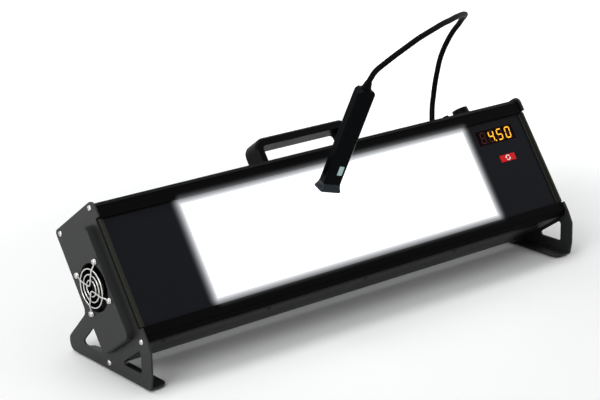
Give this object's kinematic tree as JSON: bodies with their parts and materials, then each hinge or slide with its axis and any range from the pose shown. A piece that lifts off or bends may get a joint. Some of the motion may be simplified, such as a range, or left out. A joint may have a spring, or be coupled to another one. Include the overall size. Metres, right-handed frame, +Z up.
{
  "type": "x-ray film viewer",
  "caption": "Desk-top LED film viewer: sloping lit window, reading display, dimmer knob, side fan, carry handle and a densitometer probe on a short stiff cord.",
  "frame": {"origin": "middle of the box's bottom face, on the surface that the rubber feet stand on, measured without the free cord", "axes": "+X along the case towards the end with the mains inlet, +Y from the lit front to the back, +Z up"},
  "size_m": [0.594, 0.1572, 0.2974],
  "materials": {
    "rail_black": "satin",
    "shell_black": "fine texture",
    "powder_black": "fine powder coat",
    "aluminium": "mill finish",
    "black_screw": "black zinc",
    "bright_screw": "nickel",
    "zinc": "zinc plated",
    "rubber": "matte",
    "strip": "satin",
    "panel": "gloss",
    "window": "opal",
    "white_plastic": "matte",
    "white_board": "satin",
    "lamp": "clear",
    "filter_red": "gloss",
    "grey_plastic": "matte",
    "green_board": "satin",
    "brass": "plain",
    "key_red": "gloss",
    "black_plastic": "fine grain",
    "wire": "nickel",
    "rocker_red": "gloss",
    "knob_black": "satin",
    "handle_black": "satin",
    "cord_black": "satin",
    "probe_black": "satin",
    "button_teal": "satin",
    "sensor": "clear"
  },
  "bodies": {
    "case": {"top_rail": "rail_black", "bottom_rail": "rail_black", "rear_shell": "shell_black", "corner_blocks": "aluminium", "shell_screws": "black_screw", "left_end_plate": "powder_black", "right_end_plate": "powder_black", "left_plate_screws": "bright_screw", "right_plate_screws": "bright_screw", "rubber_feet": "rubber", "left_end_strip": "strip", "right_end_strip": "strip", "front_panel": "panel", "window_glass": "window", "diffuser_sheet": "white_plastic", "light_box": "white_plastic", "led_board": "white_board", "leds": "lamp", "heat_sink": "aluminium", "heat_sink_blocks": "aluminium", "display_filter": "filter_red", "display_module": "grey_plastic", "control_board": "green_board", "control_posts": "brass", "key_switch": "black_plastic", "fan_frame": "black_plastic", "fan_guard": "wire", "fan_screws": "bright_screw", "fan_nuts": "zinc", "power_board": "green_board", "power_board_parts": "grey_plastic", "power_board_posts": "brass", "mains_inlet": "black_plastic", "inlet_pins": "brass", "inlet_screws": "bright_screw", "rocker_frame": "black_plastic", "dimmer_body": "zinc", "dimmer_nut": "zinc", "pedal_socket": "black_plastic", "pedal_socket_nut": "black_screw", "handle": "handle_black", "handle_screws": "zinc", "cord_gland": "black_plastic", "gland_nut": "zinc"},
    "fan": {"fan_rotor": "black_plastic"},
    "dimmer": {"dimmer_knob": "knob_black", "dimmer_shaft": "zinc"},
    "key": {"window_key": "key_red"},
    "rocker": {"power_rocker": "rocker_red"},
    "probe": {"cord_boot": "black_plastic", "probe_cord": "cord_black", "probe_relief": "rubber", "probe_front_shell": "probe_black", "probe_rear_shell": "probe_black", "probe_foot": "probe_black", "probe_board": "green_board", "probe_switch": "black_plastic", "probe_sensor": "sensor", "probe_screws": "bright_screw"},
    "button": {"probe_button": "button_teal"}
  },
  "joints": [
    {"name": "fan_spin", "type": "hinge", "parent": "case", "child": "fan", "pos_m": [-0.283, 0.00201, 0.08581], "axis": [1, 0, 0], "continuous": true},
    {"name": "dimmer_turn", "type": "hinge", "parent": "case", "child": "dimmer", "pos_m": [0.229, 0.03897, 0.14686], "axis": [0, 0.565, 0.8251], "range_deg": [-140, 140]},
    {"name": "window_key_press", "type": "slide", "parent": "case", "child": "key", "axis": [0, 0.8251, -0.565], "range_m": [0, 0.0006], "stiffness_N_per_m": 1500, "springref_m": -0.0006},
    {"name": "rocker_tip", "type": "hinge", "parent": "case", "child": "rocker", "pos_m": [0.2905, -0.00013, 0.08091], "axis": [0, -0.565, -0.8251], "range_deg": [0, 16]},
    {"name": "probe_swing", "type": "hinge", "parent": "case", "child": "probe", "pos_m": [0.184, 0.03897, 0.14686], "axis": [0, 0.565, 0.8251], "range_deg": [0, 35]},
    {"name": "probe_button_press", "type": "slide", "parent": "probe", "child": "button", "axis": [0.1683, 0.9497, 0.2642], "range_m": [0, 0.0008], "stiffness_N_per_m": 1000, "springref_m": -0.0008}
  ]
}
